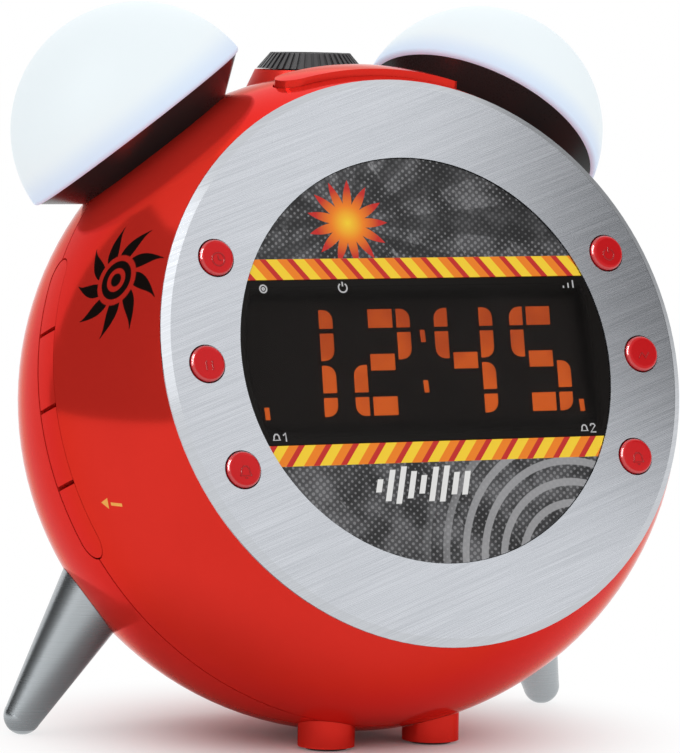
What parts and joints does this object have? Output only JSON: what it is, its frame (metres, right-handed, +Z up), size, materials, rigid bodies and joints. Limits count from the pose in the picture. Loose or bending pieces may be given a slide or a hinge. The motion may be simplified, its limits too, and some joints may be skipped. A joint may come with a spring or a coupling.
{
  "type": "projection alarm clock",
  "caption": "Round desk alarm clock with a leaning brushed face, lit digits, twin light-dome bells, a top projector lens, press keys and splayed rear legs.",
  "frame": {"origin": "middle of the bounding box on the table under the clock", "axes": "+Z up, face towards -Y, +X to the viewer's right"},
  "size_m": [0.1439, 0.1244, 0.1596],
  "materials": {
    "case_red": "gloss",
    "button_red": "gloss",
    "brushed_face": "brushed",
    "dial_print": "printed",
    "smoked_window": "gloss",
    "black_plastic": "satin",
    "lit_orange": "lit",
    "board_green": "satin",
    "switch_grey": "satin",
    "dome_white": "frosted",
    "bell_black": "satin",
    "ring_black": "satin",
    "lens_glass": "polished",
    "leg_metal": "satin",
    "pad_rubber": "matt",
    "screw_steel": "plain",
    "speaker_paper": "matt",
    "speaker_steel": "plain",
    "magnet_black": "matt",
    "cell_wrap": "gloss",
    "contact_plate": "plated"
  },
  "bodies": {
    "clock": {"front_case": "case_red", "rear_case": "case_red", "face_plate": "brushed_face", "dial_panel": "dial_print", "display_window": "smoked_window", "display_block": "black_plastic", "lit_bars": "lit_orange", "face_board": "board_green", "face_switches": "switch_grey", "side_key_board": "board_green", "side_switches": "switch_grey", "snooze_board": "board_green", "left_bell_base": "bell_black", "right_bell_base": "bell_black", "left_bell_dome": "dome_white", "right_bell_dome": "dome_white", "left_bell_light": "board_green", "right_bell_light": "board_green", "projector_collar": "case_red", "lamp_housing": "black_plastic", "projector_screen": "lens_glass", "lamp_board": "board_green", "left_leg": "leg_metal", "right_leg": "leg_metal", "leg_screws": "screw_steel", "left_front_foot": "case_red", "right_front_foot": "case_red", "foot_pads": "pad_rubber", "main_board": "board_green", "speaker_frame": "speaker_steel", "speaker_cone": "speaker_paper", "speaker_magnet": "magnet_black", "backup_cells": "cell_wrap", "battery_contacts": "contact_plate", "power_inlet": "black_plastic", "aerial_bush": "pad_rubber", "case_screws": "screw_steel", "board_screws": "screw_steel"},
    "upper_left_button": {"upper_left_button": "button_red"},
    "middle_left_button": {"middle_left_button": "button_red"},
    "lower_left_button": {"lower_left_button": "button_red"},
    "upper_right_button": {"upper_right_button": "button_red"},
    "middle_right_button": {"middle_right_button": "button_red"},
    "lower_right_button": {"lower_right_button": "button_red"},
    "side_key_1": {"side_key_1": "case_red"},
    "side_key_2": {"side_key_2": "case_red"},
    "side_key_3": {"side_key_3": "case_red"},
    "side_key_4": {"side_key_4": "case_red"},
    "snooze_bar": {"snooze_bar": "case_red"},
    "focus_ring": {"focus_ring": "ring_black"},
    "lens_carrier": {"lens_barrel": "black_plastic", "projector_lens": "lens_glass"},
    "battery_door": {"battery_door": "case_red"}
  },
  "joints": [
    {"name": "upper_left_press", "type": "slide", "parent": "clock", "child": "upper_left_button", "axis": [0, 0.95, -0.3123], "range_m": [0, 0.0008], "stiffness_N_per_m": 700, "springref_m": -0.0008},
    {"name": "middle_left_press", "type": "slide", "parent": "clock", "child": "middle_left_button", "axis": [0, 0.95, -0.3123], "range_m": [0, 0.0008], "stiffness_N_per_m": 700, "springref_m": -0.0008},
    {"name": "lower_left_press", "type": "slide", "parent": "clock", "child": "lower_left_button", "axis": [0, 0.95, -0.3123], "range_m": [0, 0.0008], "stiffness_N_per_m": 700, "springref_m": -0.0008},
    {"name": "upper_right_press", "type": "slide", "parent": "clock", "child": "upper_right_button", "axis": [0, 0.95, -0.3123], "range_m": [0, 0.0008], "stiffness_N_per_m": 700, "springref_m": -0.0008},
    {"name": "middle_right_press", "type": "slide", "parent": "clock", "child": "middle_right_button", "axis": [0, 0.95, -0.3123], "range_m": [0, 0.0008], "stiffness_N_per_m": 700, "springref_m": -0.0008},
    {"name": "lower_right_press", "type": "slide", "parent": "clock", "child": "lower_right_button", "axis": [0, 0.95, -0.3123], "range_m": [0, 0.0008], "stiffness_N_per_m": 700, "springref_m": -0.0008},
    {"name": "side_key_1_press", "type": "slide", "parent": "clock", "child": "side_key_1", "axis": [1, 0, 0], "range_m": [0, 0.0007], "stiffness_N_per_m": 700, "springref_m": -0.0008},
    {"name": "side_key_2_press", "type": "slide", "parent": "clock", "child": "side_key_2", "axis": [1, 0, 0], "range_m": [0, 0.0007], "stiffness_N_per_m": 700, "springref_m": -0.0008},
    {"name": "side_key_3_press", "type": "slide", "parent": "clock", "child": "side_key_3", "axis": [1, 0, 0], "range_m": [0, 0.0007], "stiffness_N_per_m": 700, "springref_m": -0.0008},
    {"name": "side_key_4_press", "type": "slide", "parent": "clock", "child": "side_key_4", "axis": [1, 0, 0], "range_m": [0, 0.0007], "stiffness_N_per_m": 700, "springref_m": -0.0008},
    {"name": "snooze_press", "type": "slide", "parent": "clock", "child": "snooze_bar", "axis": [0, 0.0848, -0.9964], "range_m": [0, 0.001], "stiffness_N_per_m": 900, "springref_m": -0.001},
    {"name": "focus_turn", "type": "hinge", "parent": "clock", "child": "focus_ring", "pos_m": [0, 0.01345, 0.145], "axis": [0, 0, 1], "range_deg": [-90, 90]},
    {"name": "lens_rise", "type": "slide", "parent": "clock", "child": "lens_carrier", "axis": [0, 0, 1], "range_m": [-0.0008, 0.0008]},
    {"name": "door_swing", "type": "hinge", "parent": "clock", "child": "battery_door", "pos_m": [0, 0.04037, 0.02936], "axis": [-1, 0, 0], "range_deg": [0, 100]}
  ],
  "couplings": [
    {"joint": "focus_turn", "follows": "lens_rise", "rad_per_m": 1963}
  ]
}
